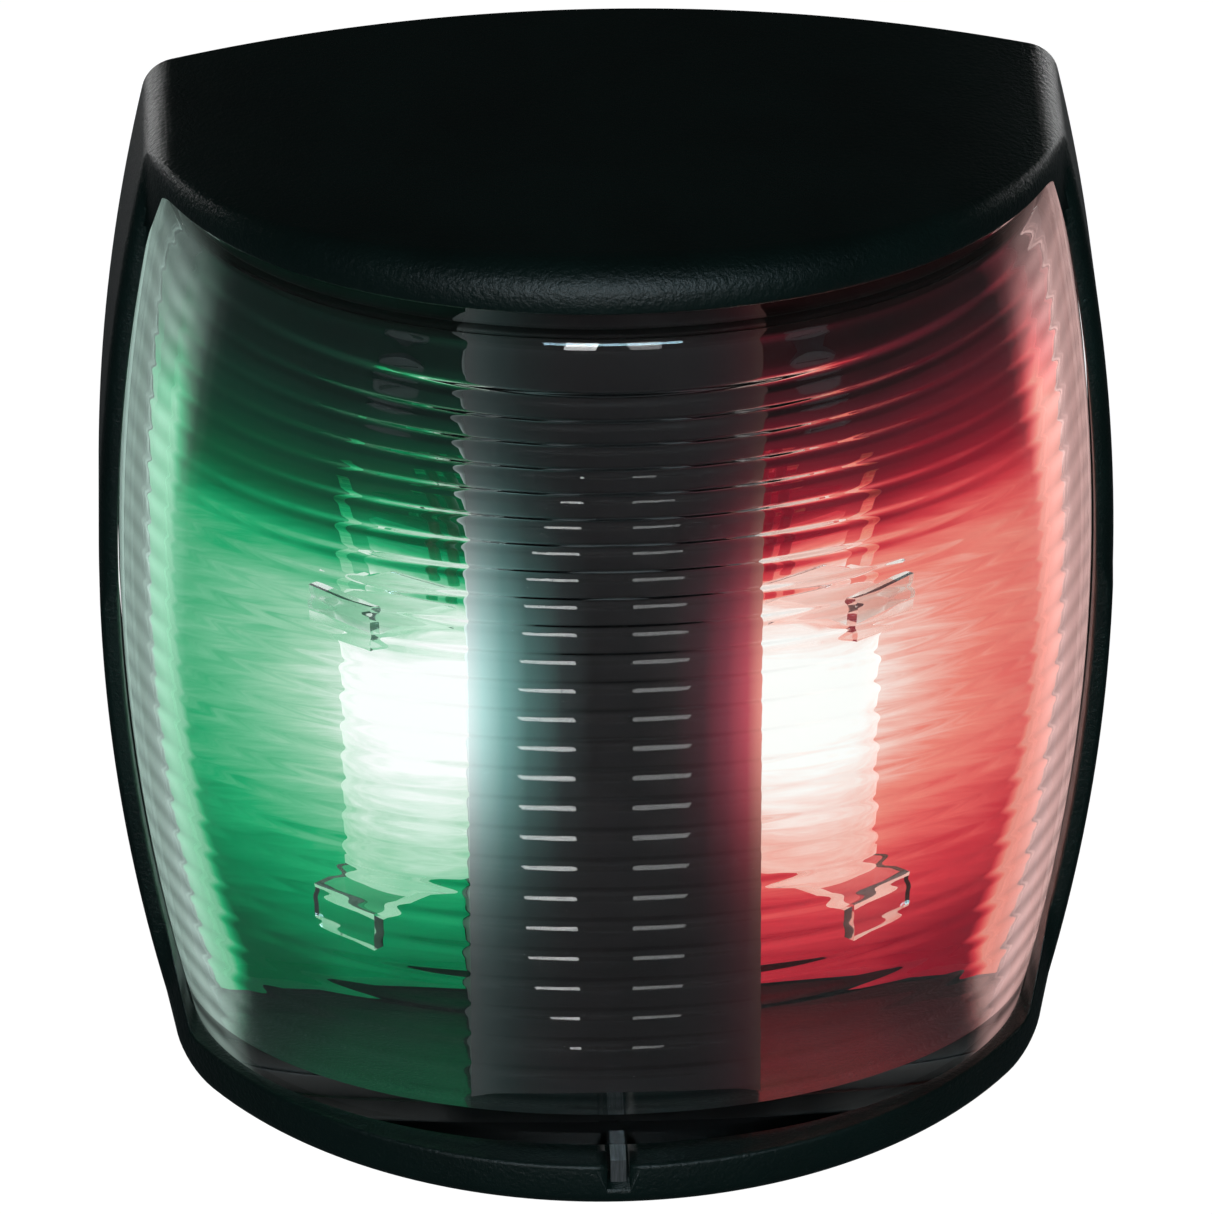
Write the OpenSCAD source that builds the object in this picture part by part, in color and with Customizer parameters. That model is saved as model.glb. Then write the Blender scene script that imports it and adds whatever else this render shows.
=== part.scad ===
// Bi-colour bow navigation light, millimetres.
// Origin: centre of the flat rear face that sits on the bulkhead (plane y = 0).
// -Y looks forward out of the lens, +Z is up, +X is the port (red) side.

/* [Body] */
// Widest half width of the lamp, at the belly of the barrel sides
half_width = 39.5; // [36:0.1:44]
// Radius of the bulging side outline
side_r = 165; // [120:5:300]
// Height of the widest point above the origin
belly_z = 2; // [-2:0.5:6]
// Highest point of the arched top
top_z = 44.8; // [42:0.1:48]
// Radius of the arched top
top_r = 150; // [100:5:300]
// Lowest point of the bottom edge
bottom_z = -42; // [-45:0.1:-40]
// Radius of the bottom edge arch
bottom_r = 1200; // [400:50:2000]
// Corner radius of the front-view outline
corner_r = 3; // [2.5:0.1:5]

/* [Shroud] */
// Side wall thickness of the shroud
shroud_wall = 1.2; // [1:0.1:2]
// Thickness of the hood and of the bottom rim
hood_wall = 1.8; // [1.4:0.1:2.4]
// Depth of the side strips from the bulkhead
strip_depth = 13; // [10:0.5:18]
// Reach of the hood from the bulkhead
hood_reach = 41; // [38:0.5:43]
// Reach of the bottom rim from the bulkhead
rim_reach = 36; // [34:0.5:40]
// Plan radius of the hood's front edge
front_r = 36; // [34:0.5:40]
// Plan radius of the bottom rim's front edge
rim_r = 38; // [34:0.5:40]
// Radius of the rounded front edge of the hood
hood_edge_r = 3.4; // [2:0.1:3.6]
// Height of the hood edge over the lens
window_top = 41; // [40:0.1:42]
// Height of the rim edge under the lens
window_bottom = -38.1; // [-39:0.1:-37]
// Free gap between the shroud and everything it slides over
slide_gap = 0.3; // [0.2:0.05:0.6]

/* [Lens] */
// Wall thickness of the clear outer lens
lens_wall = 2; // [1.5:0.1:2.6]
// Reach of the lens front at its lower half
lens_reach = 33.5; // [32:0.1:36]
// Extra reach of the lens nose under the hood
lens_flare = 9.2; // [4:0.1:10]
// Depth where the lens sits on its seal
lens_seat = 8; // [7.5:0.1:9]
// Height of the first inner rib
rib_top = 34.1; // [33:0.1:36]
// Spacing of the inner ribs
rib_pitch = 2.75; // [2:0.05:3.5]
// Number of inner ribs
rib_count = 26; // [12:1:26]
// Height of each rib over its valley
rib_height = 0.5; // [0.2:0.1:0.8]

/* [Mounting] */
// Height of each threaded insert above and below the origin
insert_z = 27; // [24:0.5:30]
// Tapping radius of the M4 inserts
insert_bore_r = 1.65; // [1.6:0.01:2]
// Radius of the cable passage through the gland
cable_r = 2.6; // [2:0.1:3.2]
// Height of the cable passage
cable_z = -8; // [-8.5:0.1:-7.5]

/* [Light engine] */
// Height of the light sources
led_z = -8; // [-9:0.5:-7]
// Half width of the dark centre screen
screen_half = 11.1; // [9:0.1:14]
// Reach of the centre screen from the bulkhead
screen_reach = 29.5; // [26:0.5:30]
// Radius of the clear optics
optic_r = 6.5; // [5:0.1:6.8]
// Height of the clear optics
optic_h = 22; // [16:0.5:24]

/* [Hidden] */
$fn = 48;

base_depth = 7;
base_floor = 2.4;
board_back = 3.4;
board_front = 5;
plate_back = 9.8;
plate_front = 11.4;
wedge_front = 21.4;
face_x = 13;
face_f = 16.4;
wedge_lo = led_z - 13;
wedge_hi = led_z + 17.5;
plate_bottom = led_z - 21;
plate_top = 24;
plate_screw_z = [led_z - 16, 19];
tray_screw_z = [led_z - 17, 20];
tray_front = 14.4;
tray_gap = 3.2;
lead_z = wedge_hi + 1.8;
lens_side = 1.6;
lens_top = window_top - 0.4;
lens_bottom = window_bottom + 0.4;
lens_crown = 2.4;
lens_root = lens_seat + 1.5;
cols = 20;
rows = 4 + 2 * (rib_count - 1) + 2;

// ---------- outline helpers ----------

// half width of the barrel outline at height z
function wide(z) = half_width - side_r + sqrt(side_r * side_r - (z - belly_z) * (z - belly_z));

// crossing point of two circles, on the left of the line from p to q
function meet(p, rp, q, rq) =
  let (d = norm(q - p), a = (rp * rp - rq * rq + d * d) / (2 * d), h = sqrt(rp * rp - a * a),
    u = (q - p) / d)
  p + a * u + h * [-u[1], u[0]];

function heading(c, p) = atan2(p[1] - c[1], p[0] - c[0]);

function arc(c, r, a0, a1, n) = [for (i = [0 : n]) let (a = a0 + (a1 - a0) * i / n)
  c + r * [cos(a), sin(a)]];

function mirror_x(pts) = [for (i = [len(pts) - 1 : -1 : 0]) [-pts[i][0], pts[i][1]]];

// right half of a barrel outline from its bottom centre up to its top centre
function half_outline(ts, zt, rt, zb, rb, rc) =
  let (cs = [half_width - side_r, belly_z], rs = side_r - ts,
    ct = [0, zt - rt], cb = [0, zb + rb],
    ft = meet(cs, rs - rc, ct, rt - rc), fb = meet(cb, rb - rc, cs, rs - rc),
    a1 = heading(cb, fb), a2 = heading(cs, fb), a3 = heading(cs, ft), a4 = heading(ct, ft))
  concat(arc(cb, rb, -90, a1, 6), arc(fb, rc, a1, a2, 6), arc(cs, rs, a2, a3, 16),
    arc(ft, rc, a3, a4, 6), arc(ct, rt, a4, 90, 8));

function outline(ts, zt, rt, zb, rb, rc) =
  let (h = half_outline(ts, zt, rt, zb, rb, rc))
  concat(h, [for (i = [len(h) - 2 : -1 : 1]) [-h[i][0], h[i][1]]]);

function body(ts, tt) = outline(ts, top_z - tt, top_r - tt, bottom_z + tt, bottom_r - tt,
  max(corner_r - tt, 0.8));

// rear edge of the lens, drawn inwards by a margin
function lens_x(z, m) = wide(z) - lens_side - m;

function lens_pts(m) = let (zs = lens_top - lens_crown - m, zb = lens_bottom + m,
  side = [for (i = [0 : 14]) let (z = zb + (zs - zb) * i / 14) [lens_x(z, m), z]],
  crown = [for (i = [1 : 7]) let (u = 1 - i / 8)
    [u * lens_x(zs, m), lens_top - m - lens_crown * u * u]])
  concat(side, crown, [[0, lens_top - m]], mirror_x(crown), mirror_x(side));

// extrude a front-view shape between two depths measured forward from the bulkhead
module forward(f0, f1) {
  translate([0, -f0, 0])
    rotate([90, 0, 0])
      linear_extrude(f1 - f0)
        children();
}

// round bar pointing forward between two depths
module peg(x, z, r, f0, f1) {
  translate([x, -f0, z])
    rotate([90, 0, 0])
      cylinder(r = r, h = f1 - f0);
}

// box given by its x, depth and z ranges
module block(x0, x1, f0, f1, z0, z1) {
  translate([x0, -f1, z0])
    cube([x1 - x0, f1 - f0, z1 - z0]);
}

// local frame on a light-engine face: x points out of the face, z up
module on_face(side) {
  translate([side * face_x, -face_f, led_z])
    rotate([0, 0, side > 0 ? -45 : -135])
      children();
}

// round wire through a list of points
module wire(pts, r) {
  for (i = [0 : len(pts) - 2]) {
    d = pts[i + 1] - pts[i];
    translate(pts[i])
      rotate([0, acos(d[2] / norm(d)), atan2(d[1], d[0])])
        cylinder(r = r, h = norm(d), $fn = 16);
    if (i > 0)
      translate(pts[i])
        sphere(r = r, $fn = 16);
  }
}

// ---------- shroud ----------

// plan envelope: full width near the bulkhead, a round front beyond it
module reach(f, r, z0, z1, cut) {
  block(-half_width - 1, half_width + 1, -1, strip_depth - cut, z0, z1);
  translate([0, r - f, z0])
    cylinder(r = r - cut, h = z1 - z0, $fn = 160);
}

module hood_envelope() {
  block(-half_width - 1, half_width + 1, -1, strip_depth, 0, top_z + 1);
  translate([0, front_r - hood_reach, 0])
    rotate_extrude($fn = 160) {
      square([front_r, top_z - hood_edge_r]);
      square([front_r - hood_edge_r, top_z + 1]);
      translate([front_r - hood_edge_r, top_z - hood_edge_r])
        circle(r = hood_edge_r, $fn = 64);
    }
}

module shroud() {
  color("#0b1011")
    difference() {
      union() {
        intersection() {
          forward(0, hood_reach + 1)
            polygon(body(0, 0));
          hood_envelope();
        }
        intersection() {
          forward(0, rim_reach + 1)
            polygon(body(0, 0));
          reach(rim_reach, rim_r, bottom_z - 1, 0, 0);
        }
      }
      intersection() {
        forward(-1, hood_reach)
          polygon(body(shroud_wall, hood_wall));
        union() {
          reach(hood_reach, front_r, 0, top_z + 1, 2.2);
          reach(rim_reach, rim_r, bottom_z - 1, 0, 2.2);
        }
      }
      forward(-1, hood_reach + 1)
        polygon(outline(shroud_wall, window_top, 267, window_bottom, 2000, 1));
      block(-0.9, 0.9, 20, rim_reach + 1, bottom_z + hood_wall, window_bottom + 1);
    }
}

// ---------- outer lens ----------

// reach of the lens on its centre line at height z
function nose(z) =
  lens_reach + lens_flare * pow(max(0, z + 10) / 45, 2.3) - 5.4 * pow(max(0, z - 34) / 6.6, 2);

// one lens surface: m is the inward margin, rib the ripple height
function lens_z(j, u, m) =
  let (zt = lens_top - m - lens_crown * u * u)
  j <= 1 ? zt
    : j <= 5 ? zt + (rib_top - zt) * (j - 1) / 4
    : j < rows ? rib_top - (j - 5) * rib_pitch / 2
    : lens_bottom + m;

function lens_point(i, j, m, rib) =
  let (a = 180 * i / cols - 90, u = sin(a), z = lens_z(j, u, m),
    ripple = j >= 5 && j < rows && (j % 2) == 1 ? rib : 0)
  [u * lens_x(z, m), -(lens_root + (nose(z) - m - ripple - lens_root) * cos(a)), z];

function flat(p) = [p[0], -lens_seat, p[2]];

// vertex list: front grid, then rear top row, rear bottom row, rear left and right columns
function lens_verts(m, rib) = concat(
  [for (j = [1 : rows]) for (i = [0 : cols]) lens_point(i, j, m, rib)],
  [for (i = [0 : cols]) flat(lens_point(i, 1, m, rib))],
  [for (i = [0 : cols]) flat(lens_point(i, rows, m, rib))],
  [for (j = [2 : rows - 1]) flat(lens_point(0, j, m, rib))],
  [for (j = [2 : rows - 1]) flat(lens_point(cols, j, m, rib))]);

row = cols + 1;
grid = rows * row;
count = grid + 2 * row + 2 * (rows - 2);
function g(i, j) = (j - 1) * row + i;
function top_edge(i) = grid + i;
function low_edge(i) = grid + row + i;
function left_edge(j) = j == 1 ? top_edge(0) : j == rows ? low_edge(0)
  : grid + 2 * row + j - 2;
function right_edge(j) = j == 1 ? top_edge(cols) : j == rows ? low_edge(cols)
  : grid + 2 * row + rows - 2 + j - 2;

function tri(a, b, c, d) = [[a, b, c], [a, c, d]];
function join(lists) = [for (l = lists) for (t = l) t];

// faces of one surface, wound to look outwards
function skin() = concat(
  join([for (j = [1 : rows - 1]) for (i = [0 : cols - 1])
    tri(g(i, j), g(i, j + 1), g(i + 1, j + 1), g(i + 1, j))]),
  join([for (i = [0 : cols - 1]) tri(top_edge(i), g(i, 1), g(i + 1, 1), top_edge(i + 1))]),
  join([for (i = [0 : cols - 1]) tri(g(i, rows), low_edge(i), low_edge(i + 1), g(i + 1, rows))]),
  join([for (j = [1 : rows - 1]) tri(left_edge(j), left_edge(j + 1), g(0, j + 1), g(0, j))]),
  join([for (j = [1 : rows - 1])
    tri(g(cols, j), g(cols, j + 1), right_edge(j + 1), right_edge(j))]));

function band(a, b) = tri(a, b, b + count, a + count);

function seat_ring() = concat(
  join([for (i = [0 : cols - 1]) band(top_edge(i), top_edge(i + 1))]),
  join([for (j = [1 : rows - 1]) band(right_edge(j), right_edge(j + 1))]),
  join([for (i = [0 : cols - 1]) band(low_edge(i + 1), low_edge(i))]),
  join([for (j = [1 : rows - 1]) band(left_edge(j + 1), left_edge(j))]));

module outer_lens() {
  outer = skin();
  inner = [for (t = outer) [t[0] + count, t[2] + count, t[1] + count]];
  color("#dfe8e8", 0.35)
    polyhedron(
      points = concat(lens_verts(0, 0), lens_verts(lens_wall, rib_height)),
      faces = [for (t = concat(outer, inner, seat_ring())) [t[0], t[2], t[1]]],
      convexity = 8);
}

module lens_seal() {
  color("#5a5f60")
    difference() {
      forward(base_depth, lens_seat)
        polygon(lens_pts(0.15));
      forward(base_depth - 1, lens_seat + 1)
        polygon(lens_pts(1.85));
    }
}

// ---------- base ----------

module base_housing() {
  color("#14191a")
    difference() {
      union() {
        difference() {
          forward(0, base_depth)
            polygon(body(shroud_wall + slide_gap, hood_wall + slide_gap));
          forward(base_floor, base_depth + 1)
            polygon(lens_pts(2.8));
        }
        for (s = [-1, 1]) {
          peg(0, s * insert_z, 4.2, base_floor - 0.5, base_depth);
          for (x = [-21, 21])
            peg(x, s * 12, 2, base_floor - 0.5, board_back);
        }
        for (x = [-6, 6])
          for (z = plate_screw_z)
            peg(x, z, 3, base_floor - 0.5, plate_back);
      }
      difference() {
        forward(-1, 1)
          polygon(body(2.6, 3.2));
        forward(-2, 2)
          polygon(body(5, 5.6));
      }
      for (s = [-1, 1]) {
        peg(0, s * insert_z, 2.8, -1, 6);
        for (x = [-21, 21])
          peg(x, s * 12, 0.9, 1.6, board_back + 1);
      }
      for (x = [-6, 6])
        for (z = plate_screw_z)
          peg(x, z, 1.4, 4, plate_back + 1);
      peg(0, cable_z, 4, -1, base_floor + 1);
      peg(20, -24, 2.5, -1, base_floor + 1);
    }
}

module mounting_gasket() {
  color("#2b2e30")
    difference() {
      forward(0, 1)
        polygon(body(2.6, 3.2));
      forward(-1, 2)
        polygon(body(5, 5.6));
    }
}

module threaded_inserts() {
  color("#b08d4a")
    for (s = [-1, 1])
      difference() {
        peg(0, s * insert_z, 2.8, 0, 6);
        peg(0, s * insert_z, insert_bore_r, -1, 5.2);
      }
}

module cable_gland() {
  color("#1d2021")
    difference() {
      union() {
        peg(0, cable_z, 4, 0, base_floor);
        peg(0, cable_z, 5.4, base_floor, 4.2);
      }
      peg(0, cable_z, cable_r, -1, 5);
    }
}

module breather_plug() {
  color("#d8dcdc")
    union() {
      peg(20, -24, 2.5, 0.8, base_floor);
      peg(20, -24, 3.5, base_floor, 3.3);
    }
}

module retaining_clip() {
  color("#b9bdc0")
    union() {
      block(-0.6, 0.6, base_depth, rim_reach - 0.4, lens_bottom - 0.6, lens_bottom - 0.1);
      block(-0.6, 0.6, rim_reach - 0.9, rim_reach - 0.4, -39.8, lens_bottom - 0.4);
      block(-3, 3, base_depth, base_depth + 0.6, -39.6, lens_bottom - 0.1);
    }
}

// ---------- driver ----------

module potting_compound() {
  color("#22262a")
    difference() {
      block(-26, 26, base_floor, board_back, -15.8, 15.8);
      peg(0, cable_z, 5.7, 0, 5);
      for (x = [-21, 21])
        for (z = [-12, 12])
          peg(x, z, 2, 0, 5);
    }
}

module driver_board() {
  color("#1f6b3f")
    difference() {
      block(-24, 24, board_back, board_front, -15, 15);
      peg(0, cable_z, 6, 0, 8);
      for (x = [-21, 21])
        for (z = [-12, 12])
          peg(x, z, 1.1, 0, 8);
    }
}

module driver_board_screws() {
  color("#a9adb0")
    for (x = [-21, 21])
      for (z = [-12, 12])
        difference() {
          union() {
            peg(x, z, 1.8, board_front, board_front + 1.2);
            peg(x, z, 0.9, 1.8, board_front + 0.2);
          }
          block(x - 1.3, x + 1.3, board_front + 0.6, board_front + 2, z - 0.25, z + 0.25);
        }
}

module driver_inductor() {
  color("#3a3d40")
    union() {
      peg(14, -5, 3.8, board_front, board_front + 0.8);
      peg(14, -5, 3, board_front + 0.8, board_front + 3);
      peg(14, -5, 3.8, board_front + 3, board_front + 3.8);
    }
}

module driver_capacitors() {
  color("#8f9598")
    for (z = [-7, 2])
      union() {
        block(-16.6, -11.4, board_front, board_front + 0.7, z - 2.6, z + 2.6);
        peg(-14, z, 2.4, board_front + 0.7, board_front + 4.4);
      }
}

module driver_chips() {
  color("#191b1d") {
    block(9.5, 14.5, board_front, board_front + 1.3, 0.5, 6.5);
    block(-9.5, -6.5, board_front, board_front + 1, 9, 11.2);
    block(-4.5, -1.5, board_front, board_front + 1, 9, 11.2);
  }
}

module supply_terminals() {
  color("#c9a55c")
    for (x = [-4, 4])
      block(x - 1.6, x + 1.6, board_front, board_front + 2, 1.4, 4.6);
}

// ---------- light engine ----------

module heat_sink() {
  color("#aab0b3")
    difference() {
      union() {
        block(-19.5, 19.5, plate_back, plate_front, plate_bottom, plate_top);
        translate([0, 0, wedge_lo])
          linear_extrude(wedge_hi - wedge_lo)
            polygon([[-18, -plate_back - 1], [-18, -plate_front], [-8, -wedge_front],
              [8, -wedge_front], [18, -plate_front], [18, -plate_back - 1]]);
      }
      for (x = [-6, 6])
        for (z = plate_screw_z)
          peg(x, z, 1.6, plate_back - 1, plate_front + 1);
      for (x = [-16, 16])
        for (z = tray_screw_z)
          peg(x, z, 0.9, plate_back - 1, plate_front + 1);
      for (s = [-1, 1])
        block(s * 12.6 - 2, s * 12.6 + 2, plate_back - 1, plate_front + 1, lead_z - 1.3,
          lead_z + 1.3);
      for (s = [-1, 1])
        for (z = [-11.2, 10.2])
          on_face(s)
            translate([-4, 4.4 * s, z])
              rotate([0, 90, 0])
                cylinder(r = 0.7, h = 6);
    }
}

module heat_sink_screws() {
  color("#a9adb0")
    for (x = [-6, 6])
      for (z = plate_screw_z)
        difference() {
          union() {
            peg(x, z, 2.6, 12.6, 14.4);
            peg(x, z, 1.4, 4.5, 12.8);
          }
          block(x - 1.8, x + 1.8, 13.6, 15, z - 0.35, z + 0.35);
          block(x - 0.35, x + 0.35, 13.6, 15, z - 1.8, z + 1.8);
        }
}

module thermal_pads() {
  color("#9aa7b8")
    for (s = [-1, 1])
      on_face(s)
        difference() {
          translate([0, -6, -11.5])
            cube([0.4, 12, 27]);
          for (z = [-11.2, 10.2])
            translate([-1, 4.4 * s, z])
              rotate([0, 90, 0])
                cylinder(r = 1, h = 3);
        }
}

module led_board(s) {
  on_face(s)
    difference() {
      translate([0.4, -6, -12])
        cube([1, 12, 28]);
      for (z = [-11.2, 10.2])
        translate([-1, 4.4 * s, z])
          rotate([0, 90, 0])
            cylinder(r = 0.9, h = 3);
    }
}

module starboard_led_board() {
  color("#e6e8e4")
    led_board(-1);
}

module port_led_board() {
  color("#e6e8e4")
    led_board(1);
}

module led(s) {
  on_face(s)
    union() {
      translate([1.4, -2.5, -2.5])
        cube([0.8, 5, 5]);
      intersection() {
        translate([2, 0, 0])
          sphere(r = 1.9);
        translate([2, -3, -3])
          cube([3, 6, 6]);
      }
    }
}

module starboard_led() {
  color("#2fd08a")
    led(-1);
}

module port_led() {
  color("#ff5a4c")
    led(1);
}

// clear half-round optic with end flanges and a pocket for the source
module optic(s) {
  on_face(s)
    difference() {
      union() {
        intersection() {
          translate([1.5, 0, -optic_h / 2])
            cylinder(r = optic_r, h = optic_h, $fn = 96);
          translate([1.5, -9, -20])
            cube([12, 18, 40]);
        }
        for (z = [-optic_h / 2 - 1, optic_h / 2])
          intersection() {
            translate([1.5, 0, z])
              cylinder(r = optic_r + 0.2, h = 1, $fn = 96);
            translate([1.5, -3.4, -20])
              cube([12, 6.8, 40]);
          }
      }
      translate([1.4, 0, 0])
        sphere(r = 3.6);
      for (z = [-11.2, 10.2])
        translate([1.4, 4.4 * s, z])
          rotate([0, 90, 0])
            cylinder(r = 1.8, h = 1.5);
    }
}

module starboard_optic() {
  color("#bfeede", 0.5)
    optic(-1);
}

module port_optic() {
  color("#f4c6c0", 0.5)
    optic(1);
}

// stirrup over each end of the optic, standing on the board
module optic_clips() {
  color("#dfe6e4", 0.6)
    for (s = [-1, 1])
      on_face(s)
        for (k = [-1, 1])
          translate([0, 0, k > 0 ? optic_h / 2 + 1 : -optic_h / 2 - 2]) {
            translate([1.4, -3.2, 0])
              cube([9.4, 6.4, 1]);
            translate([9.8, -3.2, k > 0 ? 0 : -2.4])
              cube([1, 6.4, 3.4]);
          }
}

module led_board_screws() {
  color("#a9adb0")
    for (s = [-1, 1])
      on_face(s)
        for (z = [-11.2, 10.2])
          translate([-3, 4.4 * s, z])
            rotate([0, 90, 0]) {
              cylinder(r = 0.7, h = 4.6);
              translate([0, 0, 4.4])
                cylinder(r = 1.5, h = 0.9);
            }
}

module led_leads() {
  color("#8a2b24")
    for (s = [-1, 1])
      for (k = [0, 1]) {
        x = s * (11.9 + 1.4 * k);
        f = 20.13 - 1.4 * k;
        wire([[x, -board_front, lead_z - 2.9], [x, -8.4, lead_z - 2.9], [x, -8.4, lead_z],
          [x, -f, lead_z], [x, -f, lead_z - 5.3]], 0.45);
      }
}

module light_screen() {
  color("#101415")
    difference() {
      union() {
        difference() {
          block(-screen_half, screen_half, plate_front, screen_reach, -35, 37.8);
          block(-screen_half + 1.4, screen_half - 1.4, plate_front - 1, screen_reach - 1.4,
            -33.6, 36.4);
        }
        for (z = [[wedge_lo - 7.5, wedge_lo - 0.6], [15.2, 23]])
          block(-screen_half + 1, screen_half - 1, plate_front, 12.6, z[0], z[1]);
      }
      block(-20, 20, plate_front - 1, 23.6, wedge_lo - 0.5, wedge_hi + 0.6);
      for (x = [-6, 6])
        for (z = plate_screw_z)
          peg(x, z, 1.7, plate_front - 1, 13);
      for (s = [-1, 1])
        block(s * 13.1 - 2.4, s * 13.1 + 2.4, plate_front - 1, 23.6, wedge_hi + 0.5,
          lead_z + 1.5);
    }
}

// shallow tray behind each light source, inside the lens
module reflector(s) {
  intersection() {
    difference() {
      forward(plate_front, tray_front)
        polygon(lens_pts(tray_gap));
      forward(12.4, 18)
        polygon(lens_pts(tray_gap + 1));
      block(-20.4, 20.4, plate_front - 1, 18, wedge_lo - 0.5, lead_z + 1.5);
      for (x = [-16, 16])
        for (z = tray_screw_z)
          peg(x, z, 1.1, plate_front - 1, 14);
    }
    block(s > 0 ? screen_half + 0.1 : -40, s > 0 ? 40 : -screen_half - 0.1, 11, 18, -40, 42);
  }
}

module starboard_reflector() {
  color("#cfe8dc")
    reflector(-1);
}

module port_reflector() {
  color("#f0cfcb")
    reflector(1);
}

module reflector_screws() {
  color("#a9adb0")
    for (x = [-16, 16])
      for (z = tray_screw_z)
        difference() {
          union() {
            peg(x, z, 1.8, 12.4, 13.4);
            peg(x, z, 0.9, 9, 12.6);
          }
          block(x - 1.3, x + 1.3, 13, 14, z - 0.25, z + 0.25);
        }
}

shroud();
outer_lens();
lens_seal();
base_housing();
mounting_gasket();
threaded_inserts();
cable_gland();
breather_plug();
retaining_clip();
potting_compound();
driver_board();
driver_board_screws();
driver_inductor();
driver_capacitors();
driver_chips();
supply_terminals();
heat_sink();
heat_sink_screws();
thermal_pads();
starboard_led_board();
port_led_board();
starboard_led();
port_led();
starboard_optic();
port_optic();
optic_clips();
led_board_screws();
led_leads();
light_screen();
starboard_reflector();
port_reflector();
reflector_screws();
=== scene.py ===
import math

import bmesh
import bpy
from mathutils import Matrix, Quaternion, Vector


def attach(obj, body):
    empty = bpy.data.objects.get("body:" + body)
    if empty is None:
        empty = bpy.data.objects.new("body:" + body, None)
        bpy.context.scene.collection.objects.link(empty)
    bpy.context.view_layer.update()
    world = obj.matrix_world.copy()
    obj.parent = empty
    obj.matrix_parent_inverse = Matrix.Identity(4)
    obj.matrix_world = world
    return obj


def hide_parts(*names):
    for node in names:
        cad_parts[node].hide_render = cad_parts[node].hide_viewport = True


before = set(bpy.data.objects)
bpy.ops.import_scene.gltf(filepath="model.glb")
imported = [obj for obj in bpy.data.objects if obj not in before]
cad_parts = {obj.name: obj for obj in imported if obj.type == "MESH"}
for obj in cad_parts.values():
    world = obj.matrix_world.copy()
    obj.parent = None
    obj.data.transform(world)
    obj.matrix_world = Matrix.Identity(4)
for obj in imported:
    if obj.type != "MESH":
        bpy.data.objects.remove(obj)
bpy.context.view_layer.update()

MM = 0.001

# ---------- sizes in millimetres; outlines, walls and rib pitch are the CAD source's ----------

HALF_WIDTH, SIDE_R, BELLY_Z = 39.5, 165.0, 2.0
TOP_Z, TOP_R = 44.8, 150.0
BOTTOM_Z, BOTTOM_R = -42.0, 1200.0
CORNER_R, INNER_CORNER_R, WINDOW_CORNER_R = 3.0, 1.2, 1.0
# steps along each part of the outline
BOTTOM_STEPS, CORNER_STEPS, SIDE_STEPS, TOP_STEPS = 36, 8, 48, 44

SHROUD_WALL, HOOD_WALL = 1.2, 1.8
STRIP_DEPTH = 13.0
HOOD_REACH, RIM_REACH = 41.0, 36.0
FRONT_R, RIM_R = 36.0, 38.0
WINDOW_TOP, WINDOW_TOP_R = 41.0, 267.0
WINDOW_BOTTOM, WINDOW_BOTTOM_R = -38.1, 2000.0
LIP_DEPTH, SIDE_LIP = 2.2, 0.3
# rounding of the front edge, and the most of the lip's width that it may take
HOOD_ROUND, HOOD_ROUND_SHARE = 3.2, 0.8
RIM_ROUND, RIM_ROUND_SHARE = 1.3, 0.34
WINDOW_ROUND, WINDOW_ROUND_SHARE = 0.35, 0.45
ROUND_STEPS, WINDOW_ROUND_STEPS = 8, 4
# rows of points up the outside of the wall, behind the rounded edge
WALL_POINTS, REAR_BAND, WALL_SHARES = 4, 0.35, (0.4, 0.75)
WALL_ROOM, WALL_STEP = 0.4, 0.2
SLOT_HALF, SLOT_BACK = 0.9, 20.0

LENS_WALL = 2.0
LENS_REACH = 33.5
# the flare grows from this height, over this span, by this power
LENS_FLARE, FLARE_FROM, FLARE_SPAN, FLARE_POWER = 9.2, -10.0, 45.0, 2.3
LENS_SEAT, LENS_ROOT = 8.0, 9.5
LENS_SIDE = 1.6
LENS_TOP, LENS_BOTTOM, LENS_CROWN = 40.6, -37.7, 2.4
RIB_TOP, RIB_PITCH, RIB_COUNT = 34.1, 2.75, 26
# a rib's rise at height 0, its gain per millimetre of height, the share of it left at the sides
# and the power by which it falls to that share
RIB_RISE, RIB_GAIN, RIB_SIDE, RIB_FADE = 0.2, 0.002, 0.35, 10
RIB_HALF, RIB_STEPS = 0.85, 10
BROW_Z, BROW_SWELL, BROW_RATE, BROW_R, BROW_LEAST_R = 34.0, 0.5, 0.9, 2.2, 0.4
# share of the way from the crown down to the ribs at which the rows of the brow lie
BROW_SHARES = [0.0, 0.02, 0.05, 0.09, 0.14, 0.2, 0.27, 0.35, 0.5, 0.7, 0.85]
ROW_GAP = 0.1
LENS_COLUMNS, LENS_ROWS = 120, 64
# in metres
WELD_GAP = 2e-6

SCREEN_HALF = 11.1
FLANGE_LOW, FLANGE_HIGH, FLANGE_STEPS = -34.0, 37.0, 60
# gap to the inside of the lens wall, and depth, at each point of the flange's section
FLANGE_SECTION = [(2.6, 12.4), (1.9, 13.2), (1.3, 12.6), (0.7, 11.0), (0.35, 9.4), (0.3, 8.4)]


def wide(z):
    """Half width of the barrel outline at height z."""
    return HALF_WIDTH - SIDE_R + math.sqrt(SIDE_R**2 - (z - BELLY_Z) ** 2)


# ---------- meshes ----------


def place(x, forward, z):
    """A point given by its width, its depth in front of the bulkhead and its height, in metres."""
    return Vector((x, -forward, z)) * MM


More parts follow.
